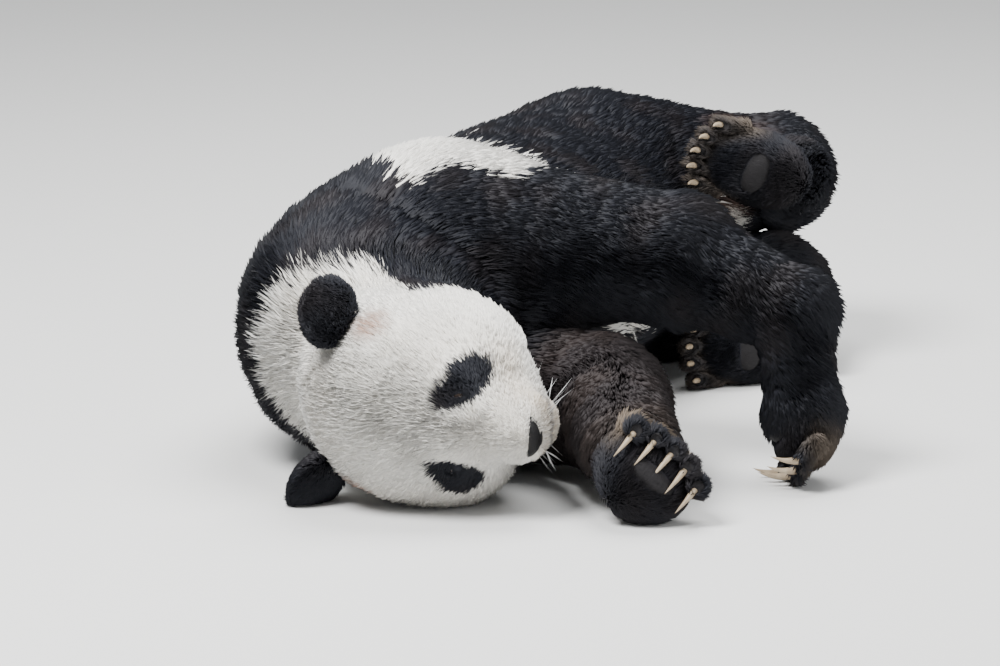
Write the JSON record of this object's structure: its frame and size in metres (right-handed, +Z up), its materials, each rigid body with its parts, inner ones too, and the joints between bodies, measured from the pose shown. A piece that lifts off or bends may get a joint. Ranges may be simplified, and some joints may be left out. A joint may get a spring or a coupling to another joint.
{
  "type": "giant panda",
  "caption": "Giant panda asleep on its right side, head and arms towards the front, as a still life-size museum model that rests on the floor.",
  "frame": {"origin": "on the floor, below the middle of the whole animal's box", "axes": "+Z up from the floor, +Y along the animal from its head to its rump, +X towards its belly, legs and paws"},
  "size_m": [0.8224, 1.3556, 0.4119],
  "materials": {
    "white_coat": "creamy white fur, soft and matt",
    "black_coat": "black fur with a faint bluish sheen and brown tips",
    "eye": "wet dark brown",
    "nose_leather": "moist pebbled black skin",
    "claw_horn": "worn pale horn"
  },
  "bodies": {
    "root": {"head": "white_coat", "neck": "white_coat", "trunk": "white_coat", "tail": "white_coat", "ear_left": "black_coat", "ear_right": "black_coat", "arm_left_upper": "black_coat", "arm_left_fore": "black_coat", "paw_left": "black_coat", "arm_right_upper": "black_coat", "arm_right_fore": "black_coat", "paw_right": "black_coat", "leg_left_thigh": "black_coat", "leg_left_shank": "black_coat", "foot_left": "black_coat", "leg_right_thigh": "black_coat", "leg_right_shank": "black_coat", "foot_right": "black_coat", "eye_left": "eye", "eye_right": "eye", "nose": "nose_leather", "claw_paw_left_1": "claw_horn", "claw_paw_left_2": "claw_horn", "claw_paw_left_3": "claw_horn", "claw_paw_left_4": "claw_horn", "claw_paw_left_5": "claw_horn", "claw_paw_right_1": "claw_horn", "claw_paw_right_2": "claw_horn", "claw_paw_right_3": "claw_horn", "claw_paw_right_4": "claw_horn", "claw_paw_right_5": "claw_horn", "claw_foot_left_1": "claw_horn", "claw_foot_left_2": "claw_horn", "claw_foot_left_3": "claw_horn", "claw_foot_left_4": "claw_horn", "claw_foot_left_5": "claw_horn", "claw_foot_right_1": "claw_horn", "claw_foot_right_2": "claw_horn", "claw_foot_right_3": "claw_horn", "claw_foot_right_4": "claw_horn", "claw_foot_right_5": "claw_horn"}
  },
  "joints": []
}
